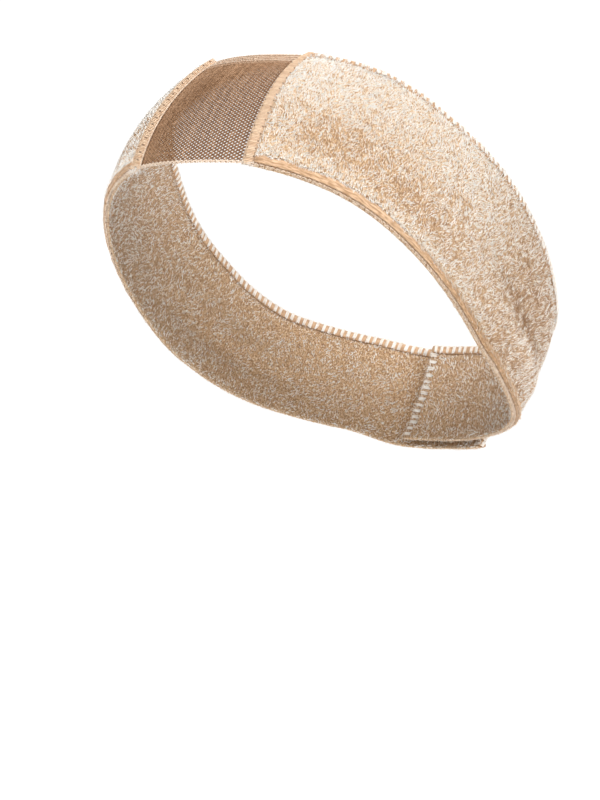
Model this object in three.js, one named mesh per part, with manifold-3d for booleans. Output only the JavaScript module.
import * as THREE from 'three';
import { mergeGeometries, mergeVertices } from 'three/addons/utils/BufferGeometryUtils.js';
import Module from 'manifold-3d';

// Wig grip band, as worn. Millimetres, +Z up, the face towards -Y, the wearer's left towards +X.
// The origin is the middle of the hollow that the head fills, at its widest level.

const DEGREE = Math.PI / 180;

// The head hollow: an ellipsoid with a low upper half and a deep lower half
const HEAD_HALF_BREADTH = 76;
const HEAD_HALF_LENGTH = 94;
const HEAD_CROWN_HEIGHT = 75;
const HEAD_LOWER_DEPTH = 106;

// The belt: the band runs round an axis that leans back from the vertical
const BELT_LEAN = 30 * DEGREE;
const BAND_WIDTH = 55;

// The net over the forehead
const NET_WIDTH = 51;
const NET_CLOTH = 1.0;
const NET_TOP_HEM_WIDTH = 5.5;
const NET_TOP_HEM_CLOTH = 1.6;
const NET_FRONT_EDGE_WIDTH = 1.3;
const NET_FRONT_EDGE_CLOTH = 1.2;
const NET_FRONT_SAG = 1.6;
const NET_TOP_DIP = 1.8;
const NET_TOP_STEP = 1.0;
const NET_FRONT_DROP = 0.8;
const NET_GAP_WIDTH = 3.3;
const NET_STRAND_WIDTH = 1.7;

// The velvet straps
const HEAD_CLEARANCE = 0.4;
const FIT_CLEARANCE = 0.3;
const INNER_CLOTH = 1.0;
const OUTER_CLOTH = 1.4;
const INNER_EDGE_SHOWING = 1.2;
const FRONT_FOLD_WIDTH = 2.6;
const FRONT_FOLD_CLOTH = 1.6;
const TOP_OVERLOCK_WIDTH = 3.3;
const TOP_OVERLOCK_PROUD = 0.2;

// The tapes over the two seams
const SEAM_TAPE_WIDTH = 4.2;
const SEAM_TAPE_CLOTH = 1.1;
const SEAM_TAPE_TAIL = 1.4;

// The lapped ends at the nape and the hook-and-loop pad between them
const LAP_LENGTH = 32;
const LAP_RAMP_LENGTH = 24;
const CLOSURE_CLOTH = 1.8;
const CLOSURE_MARGIN = 5;

// The soft fold behind each ear, and the front edge standing off at the temple
const EAR_FOLD_HEIGHT = 2.2;
const EAR_HOLLOW_DEPTH = 1.0;
const TEMPLE_STAND_OFF = 0.8;

// Steps of the faceted cloth
const STRAP_STEPS = 34;
const STRAP_STEPS_ACROSS = 7;
const EDGE_STEPS_ACROSS = 2;
const NET_STEPS = 4;
const NET_STEPS_ACROSS = 5;
const TAPE_STEPS = 12;
const TAPE_STEPS_ACROSS = 2;
const HEM_STEPS_ACROSS = 3;
const CLOSURE_STEPS = 6;
const CLOSURE_STEPS_ACROSS = 4;
const GAP_SIDES = 6;

// The band's middle line and width at turns from the forehead (0) to the nape (180).
// turn in degrees, middle as a share of the head's half length, width as a share of the band's.
const SECTIONS = [
  { turn: 0, middle: 0.067, width: 1.0 },
  { turn: 17, middle: 0.067, width: 1.0 },
  { turn: 37, middle: 0.063, width: 1.02 },
  { turn: 50, middle: 0.032, width: 1.01 },
  { turn: 63, middle: -0.014, width: 0.99 },
  { turn: 79, middle: -0.066, width: 0.985 },
  { turn: 90, middle: -0.106, width: 0.96 },
  { turn: 100, middle: -0.138, width: 0.93 },
  { turn: 111, middle: -0.159, width: 0.88 },
  { turn: 121, middle: -0.176, width: 0.825 },
  { turn: 133, middle: -0.177, width: 0.77 },
  { turn: 146, middle: -0.15, width: 0.75 },
  { turn: 162, middle: -0.118, width: 0.735 },
  { turn: 180, middle: -0.1, width: 0.735 },
];

// The seams between the net and the velvet, from the hairline (across 0) to the back edge (across 1).
// left and right are the turns of their middle lines as shares of half the net's width.
const SEAMS = [
  { across: 0, left: 1.02, right: 1.05 },
  { across: 0.35, left: 0.98, right: 1.06 },
  { across: 0.7, left: 0.95, right: 1.11 },
  { across: 0.9, left: 0.99, right: 1.18 },
  { across: 1, left: 1.08, right: 1.22 },
];

// How far a rolled edge thins towards its sides, as a share of its thickness
const HEM_ROUNDING = 0.4;
const FOLD_ROUNDING = 0.5;
const OVERLOCK_ROUNDING = 0.45;

// Places of the soft relief: turns in degrees, across as a share of the width from the front edge
const EAR_FOLD = { turn: 118, reach: 26, ridge: 0.35, ridgeReach: 0.13, hollow: 0.58, hollowReach: 0.14 };
const TEMPLE = { turn: 62, reach: 22, edge: 0, edgeReach: 0.16 };

const MATERIALS = {
  velvet: { color: '#e2ccb6', roughness: 0.85, metalness: 0 },
  innerVelvet: { color: '#d6b999', roughness: 0.9, metalness: 0 },
  net: { color: '#b58a6c', roughness: 0.8, metalness: 0 },
  tape: { color: '#c89c79', roughness: 0.75, metalness: 0 },
  fold: { color: '#cfa684', roughness: 0.6, metalness: 0 },
  thread: { color: '#ead9c5', roughness: 0.7, metalness: 0 },
  closure: { color: '#cdb69c', roughness: 0.95, metalness: 0 },
};

// Directions of the belt: forward out of the forehead, along its axis, and to the wearer's left
const FORWARD = new THREE.Vector3(0, -Math.cos(BELT_LEAN), Math.sin(BELT_LEAN));
const BELT_AXIS = new THREE.Vector3(0, Math.sin(BELT_LEAN), Math.cos(BELT_LEAN));
const LEFTWARD = new THREE.Vector3(1, 0, 0);

// Heights of the layers above the head
const INNER_UNDERSIDE = HEAD_CLEARANCE;
const INNER_TOP = INNER_UNDERSIDE + INNER_CLOTH;
const OUTER_UNDERSIDE = INNER_TOP + FIT_CLEARANCE;
const OUTER_TOP = OUTER_UNDERSIDE + OUTER_CLOTH;
const CLOSURE_UNDERSIDE = OUTER_TOP + FIT_CLEARANCE;
const CLOSURE_TOP = CLOSURE_UNDERSIDE + CLOSURE_CLOTH;
const LAP_LIFT = CLOSURE_TOP + FIT_CLEARANCE - INNER_UNDERSIDE;
const NET_TOP = INNER_UNDERSIDE + NET_CLOTH;
const TAPE_UNDERSIDE = Math.max(NET_TOP, INNER_TOP) + FIT_CLEARANCE;

// Turns of the seams and of the lap, from lengths along the front and the back of the head
const SEAM_TURN = Math.asin(NET_WIDTH / 2 / HEAD_HALF_LENGTH);
const turnOf = (length) => length / HEAD_HALF_LENGTH;
const LAP_HALF_TURN = turnOf(LAP_LENGTH / 2);
const LAP_RAMP_TURN = turnOf(LAP_RAMP_LENGTH);
const STRAP_END = Math.PI + LAP_HALF_TURN;

const lerp = THREE.MathUtils.lerp;
const END_TOLERANCE = 0.001;
const SETTLING_PASSES = 4;

// A soft bump of height 1 at its middle that fades to nothing about two reaches away
function bump(value, middle, reach) {
  return Math.exp(-(((value - middle) / reach) ** 2));
}

// The point of the head at a turn round the belt and a height along its axis, and the way out from it
function headSurface(turn, rise) {
  const out = FORWARD.clone().multiplyScalar(Math.cos(turn)).addScaledVector(LEFTWARD, Math.sin(turn));
  const reach = (depth) => {
    const shrink = new THREE.Vector3(1 / HEAD_HALF_BREADTH, 1 / HEAD_HALF_LENGTH, 1 / depth);
    const ray = out.clone().multiply(shrink);
    const start = BELT_AXIS.clone().multiplyScalar(rise).multiply(shrink);
    const half = ray.dot(start);
    const root = Math.sqrt(Math.max(half * half - ray.lengthSq() * (start.lengthSq() - 1), 0));
    return out.clone().multiplyScalar((root - half) / ray.lengthSq()).addScaledVector(BELT_AXIS, rise);
  };
  let depth = HEAD_CROWN_HEIGHT;
  let point = reach(depth);
  if (point.z < 0) {
    depth = HEAD_LOWER_DEPTH;
    point = reach(depth);
  }
  const squares = new THREE.Vector3(HEAD_HALF_BREADTH ** 2, HEAD_HALF_LENGTH ** 2, depth ** 2);
  return { point, normal: point.clone().divide(squares).normalize() };
}

// A column of a table at any place along its key, by a smooth curve through its rows
function tableValue(rows, key, place, column) {
  const last = rows.length - 1;
  let row = 0;
  while (row < last - 1 && rows[row + 1][key] < place) row += 1;
  const [a, b] = [rows[row], rows[row + 1]];
  const before = rows[Math.max(row - 1, 0)];
  const after = rows[Math.min(row + 2, last)];
  const span = b[key] - a[key];
  const slopeIn = ((b[column] - before[column]) / (b[key] - before[key])) * span;
  const slopeOut = ((after[column] - a[column]) / (after[key] - a[key])) * span;
  const t = THREE.MathUtils.clamp((place - a[key]) / span, 0, 1);
  const rise = t * t * (3 - 2 * t);
  const lead = t * (1 - t) * (1 - t);
  const trail = t * t * (t - 1);
  return lerp(a[column], b[column], rise) + slopeIn * lead + slopeOut * trail;
}

function sectionValue(turn, column) {
  const degrees = Math.abs(turn) / DEGREE;
  return tableValue(SECTIONS, 'turn', degrees > 180 ? 360 - degrees : degrees, column);
}

const middleRise = (turn) => sectionValue(turn, 'middle') * HEAD_HALF_LENGTH;
const halfWidth = (turn) => (sectionValue(turn, 'width') * BAND_WIDTH) / 2;
const lowerEdge = (turn) => middleRise(turn) - halfWidth(turn);
const upperEdge = (turn) => middleRise(turn) + halfWidth(turn);

// The turn of a seam at a height along the belt's axis
function seamTurn(label, rise) {
  const across = (rise - lowerEdge(SEAM_TURN)) / (upperEdge(SEAM_TURN) - lowerEdge(SEAM_TURN));
  const share = tableValue(SEAMS, 'across', THREE.MathUtils.clamp(across, 0, 1), label);
  return SEAM_TURN * share * (label === 'right' ? -1 : 1);
}

// The net's own edges bow: its hairline sags and its back edge dips between the seams
const netBow = (turn) => 1 - Math.min(Math.abs(turn) / SEAM_TURN, 1) ** 2;
const netLower = (turn) => lowerEdge(turn) - NET_FRONT_DROP - NET_FRONT_SAG * netBow(turn);
const netUpper = (turn) => upperEdge(turn) - NET_TOP_STEP - NET_TOP_DIP * netBow(turn);

// How far the cloth stands off the head: the ear fold, the temple and the upper end of the lap
function drape(turn, rise) {
  const degrees = Math.abs(turn) / DEGREE;
  const across = (rise - lowerEdge(turn)) / (2 * halfWidth(turn));
  const ear = bump(degrees, EAR_FOLD.turn, EAR_FOLD.reach);
  const ridge = EAR_FOLD_HEIGHT * bump(across, EAR_FOLD.ridge, EAR_FOLD.ridgeReach);
  const hollow = EAR_HOLLOW_DEPTH * bump(across, EAR_FOLD.hollow, EAR_FOLD.hollowReach);
  const edge = bump(degrees, TEMPLE.turn, TEMPLE.reach) * bump(across, TEMPLE.edge, TEMPLE.edgeReach);
  const lapped = Math.PI - LAP_HALF_TURN;
  const lap = turn < 0 ? THREE.MathUtils.smoothstep(-turn, lapped - LAP_RAMP_TURN, lapped) : 0;
  return ear * (ridge - hollow) + TEMPLE_STAND_OFF * edge + LAP_LIFT * lap;
}

function bandPoint(turn, rise, height) {
  const { point, normal } = headSurface(turn, rise);
  return point.addScaledVector(normal, height + drape(turn, rise));
}

// A value between two ends that keeps to the steps of a wider span, so that layers share their folds
function stepped(share, ends, span) {
  if (share < END_TOLERANCE) return ends[0];
  if (share > 1 - END_TOLERANCE) return ends[1];
  return THREE.MathUtils.clamp(lerp(span[0], span[1], share), ends[0], ends[1]);
}

// A closed piece of cloth between two turns, two edges and two heights over the head.
// Its ends are turns at a height along the belt and its edges are heights at a turn, settled together.
// Its steps are those of the ends and edges named as its grid, or its own where none is named.
// Rounding thins it towards both long edges, as a rolled edge is.
function clothGeometry({ turns, edges, heights, steps, gridTurns = turns, gridEdges = edges, rounding = 0 }) {
  const box = new THREE.BoxGeometry(1, 1, 1, steps[0], steps[1], 1);
  box.deleteAttribute('normal');
  box.deleteAttribute('uv');
  const geometry = mergeVertices(box);
  const position = geometry.attributes.position;
  for (let i = 0; i < position.count; i += 1) {
    const across = position.getY(i) + 0.5;
    let rise = middleRise(SEAM_TURN);
    let turn = 0;
    for (let pass = 0; pass < SETTLING_PASSES; pass += 1) {
      turn = stepped(position.getX(i) + 0.5, turns(rise), gridTurns(rise));
      rise = stepped(across, edges(turn), gridEdges(turn));
    }
    const middle = (heights[0] + heights[1]) / 2;
    const thinned = 1 - rounding * (2 * across - 1) ** 2;
    const height = middle + position.getZ(i) * (heights[1] - heights[0]) * thinned;
    position.setXYZ(i, ...bandPoint(turn, rise, height).toArray());
  }
  return geometry;
}

function pieceOf(name, geometry, finish) {
  const flat = geometry.toNonIndexed();
  flat.computeVertexNormals();
  const mesh = new THREE.Mesh(flat, new THREE.MeshStandardMaterial(MATERIALS[finish]));
  mesh.name = name;
  return mesh;
}

const { Manifold, Mesh } = await Module().then((wasm) => {
  wasm.setup();
  return wasm;
});

function solidOf(geometry) {
  const vertProperties = Float32Array.from(geometry.attributes.position.array);
  const triVerts = Uint32Array.from(geometry.index.array);
  return new Manifold(new Mesh({ numProp: 3, vertProperties, triVerts }));
}

// The turns between the two seams, less a margin along the cloth at each
function betweenSeams(margin) {
  return (rise) => [seamTurn('right', rise) + turnOf(margin), seamTurn('left', rise) - turnOf(margin)];
}

// Net panel: a wall cut through in staggered rows of six-sided gaps
function netPanel() {
  const low = (turn) => netLower(turn) + NET_FRONT_EDGE_WIDTH + FIT_CLEARANCE;
  const high = (turn) => netUpper(turn) - NET_TOP_HEM_WIDTH - FIT_CLEARANCE;
  const wall = clothGeometry({
    turns: betweenSeams(FIT_CLEARANCE / 2),
    edges: (turn) => [low(turn), high(turn)],
    heights: [INNER_UNDERSIDE, NET_TOP],
    steps: [NET_STEPS, NET_STEPS_ACROSS],
  });
  const pitch = NET_GAP_WIDTH + NET_STRAND_WIDTH;
  const clear = betweenSeams((SEAM_TAPE_WIDTH + pitch) / 2);
  const columns = Math.max(Math.floor((2 * SEAM_TURN) / turnOf(pitch)) - 1, 1);
  const rowPitch = pitch * Math.sin(Math.PI / 3);
  const rows = Math.max(Math.floor((high(0) - low(0) - NET_STRAND_WIDTH) / rowPitch), 1);
  const radius = NET_GAP_WIDTH / 2 / Math.cos(Math.PI / GAP_SIDES);
  const cutLength = 4 * NET_TOP;
  const upright = new THREE.Vector3(0, 1, 0);
  const cutters = [];
  for (let row = 0; row < rows; row += 1) {
    const rise = lerp(low(0), high(0), (row + 0.5) / rows);
    const offset = row % 2 === 0 ? 0 : 0.5;
    for (let column = 0; column < columns - offset; column += 1) {
      const turn = lerp(...clear(rise), (column + offset + 0.5) / columns);
      const { point, normal } = headSurface(turn, rise);
      const cutter = new THREE.CylinderGeometry(radius, radius, cutLength, GAP_SIDES);
      cutter.applyQuaternion(new THREE.Quaternion().setFromUnitVectors(upright, normal));
      cutter.translate(point.x, point.y, point.z);
      cutter.deleteAttribute('normal');
      cutter.deleteAttribute('uv');
      cutters.push(mergeVertices(cutter));
    }
  }
  const cut = solidOf(wall).subtract(solidOf(mergeGeometries(cutters))).getMesh();
  const geometry = new THREE.BufferGeometry();
  geometry.setAttribute('position', new THREE.BufferAttribute(cut.vertProperties, 3));
  geometry.setIndex(new THREE.BufferAttribute(cut.triVerts, 1));
  return pieceOf('net_panel', geometry, 'net');
}

// The net's folded back edge and its woven hairline edge
function netEdges() {
  const hem = clothGeometry({
    turns: betweenSeams(SEAM_TAPE_WIDTH / 2 + FIT_CLEARANCE),
    edges: (turn) => [netUpper(turn) - NET_TOP_HEM_WIDTH, netUpper(turn)],
    heights: [INNER_UNDERSIDE, INNER_UNDERSIDE + NET_TOP_HEM_CLOTH],
    steps: [TAPE_STEPS, HEM_STEPS_ACROSS],
    rounding: HEM_ROUNDING,
  });
  const front = clothGeometry({
    turns: betweenSeams(FIT_CLEARANCE / 2),
    edges: (turn) => [netLower(turn), netLower(turn) + NET_FRONT_EDGE_WIDTH],
    heights: [INNER_UNDERSIDE, INNER_UNDERSIDE + NET_FRONT_EDGE_CLOTH],
    steps: [TAPE_STEPS, 1],
  });
  return [pieceOf('net_top_hem', hem, 'tape'), pieceOf('net_front_edge', front, 'thread')];
}

// The two straps, one to each side. A strap's turns start a length past its seam and end at its lap.
const SIDES = [
  { label: 'left', turns: (from, to) => [from, to], sign: 1 },
  { label: 'right', turns: (from, to) => [to, from], sign: -1 },
];

// Everything that one strap is sewn from
function strap({ label, turns, sign }) {
  const tapeHalf = SEAM_TAPE_WIDTH / 2;
  const pastSeam = (length) => (rise) =>
    turns(seamTurn(label, rise) + sign * turnOf(length), sign * STRAP_END);
  const gridTurns = pastSeam(0);
  const gridEdges = (turn) => [lowerEdge(turn), upperEdge(turn)];
  const whole = pastSeam(FIT_CLEARANCE / 2);
  const pastTape = pastSeam(tapeHalf + FIT_CLEARANCE);
  const foldTop = (turn) => lowerEdge(turn) + FRONT_FOLD_WIDTH;
  const overlockFoot = (turn) => upperEdge(turn) - TOP_OVERLOCK_WIDTH;

  const inner = clothGeometry({
    turns: whole,
    edges: (turn) => [lowerEdge(turn) - INNER_EDGE_SHOWING, overlockFoot(turn) - FIT_CLEARANCE],
    heights: [INNER_UNDERSIDE, INNER_TOP],
    steps: [STRAP_STEPS, STRAP_STEPS_ACROSS],
    gridTurns,
    gridEdges,
  });
  const outer = clothGeometry({
    turns: pastTape,
    edges: (turn) => [foldTop(turn) + FIT_CLEARANCE, overlockFoot(turn) - FIT_CLEARANCE],
    heights: [OUTER_UNDERSIDE, OUTER_TOP],
    steps: [STRAP_STEPS, STRAP_STEPS_ACROSS],
    gridTurns,
    gridEdges,
  });
  const fold = clothGeometry({
    turns: pastTape,
    edges: (turn) => [lowerEdge(turn), foldTop(turn)],
    heights: [OUTER_UNDERSIDE, OUTER_UNDERSIDE + FRONT_FOLD_CLOTH],
    steps: [STRAP_STEPS, EDGE_STEPS_ACROSS],
    gridTurns,
    rounding: FOLD_ROUNDING,
  });
  const overlock = clothGeometry({
    turns: pastTape,
    edges: (turn) => [overlockFoot(turn), upperEdge(turn)],
    heights: [INNER_UNDERSIDE, OUTER_TOP + TOP_OVERLOCK_PROUD],
    steps: [STRAP_STEPS, EDGE_STEPS_ACROSS],
    gridTurns,
    rounding: OVERLOCK_ROUNDING,
  });
  const tape = clothGeometry({
    turns: (rise) => [-tapeHalf, tapeHalf].map((length) => seamTurn(label, rise) + turnOf(length)),
    edges: (turn) => [lowerEdge(turn) - SEAM_TAPE_TAIL, upperEdge(turn) - FIT_CLEARANCE],
    heights: [TAPE_UNDERSIDE, TAPE_UNDERSIDE + SEAM_TAPE_CLOTH],
    steps: [TAPE_STEPS_ACROSS, TAPE_STEPS],
  });
  return [
    pieceOf(`seam_tape_${label}`, tape, 'tape'),
    pieceOf(`velvet_outer_${label}`, outer, 'velvet'),
    pieceOf(`velvet_inner_${label}`, inner, 'innerVelvet'),
    pieceOf(`front_fold_${label}`, fold, 'fold'),
    pieceOf(`top_overlock_${label}`, overlock, 'thread'),
  ];
}

// The plain hook-and-loop pad, held between the under end and the upper end of the lap
function backClosure() {
  const pad = clothGeometry({
    turns: () => [Math.PI - LAP_HALF_TURN, Math.PI + LAP_HALF_TURN],
    edges: (turn) => [lowerEdge(turn) + CLOSURE_MARGIN, upperEdge(turn) - CLOSURE_MARGIN],
    heights: [CLOSURE_UNDERSIDE, CLOSURE_TOP],
    steps: [CLOSURE_STEPS, CLOSURE_STEPS_ACROSS],
  });
  return pieceOf('back_closure', pad, 'closure');
}

const band = new THREE.Group();
band.add(netPanel(), ...netEdges());
for (const side of SIDES) {
  band.add(...strap(side));
}
band.add(backClosure());

export default band;
